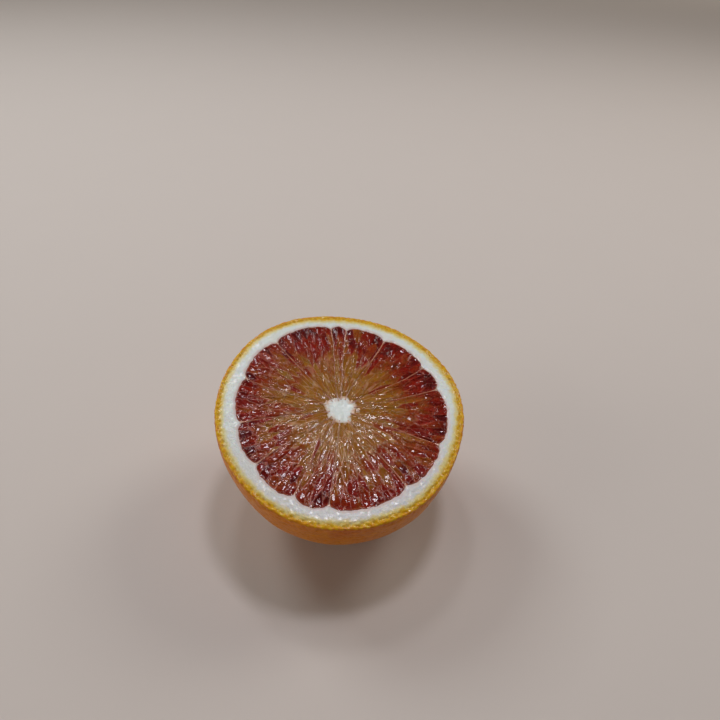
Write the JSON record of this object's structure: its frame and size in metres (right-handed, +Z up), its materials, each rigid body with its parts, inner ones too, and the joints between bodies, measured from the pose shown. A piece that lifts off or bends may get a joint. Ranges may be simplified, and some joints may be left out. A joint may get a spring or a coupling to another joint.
{
  "type": "blood orange half",
  "caption": "Half of a blood orange cut across, resting on its peel with the wet crimson and amber segments facing up.",
  "frame": {"origin": "on the ground under the middle of the fruit's bounding box", "axes": "+Z up from the ground; the cut face looks up and leans towards -Y; +X to the right when looking along +Y at the fruit"},
  "size_m": [0.0762, 0.075, 0.0494],
  "materials": {
    "orange_half": "waxy orange peel, white pith and wet crimson flesh on the cut face"
  },
  "bodies": {
    "root": {"orange_half": "orange_half"}
  },
  "joints": []
}
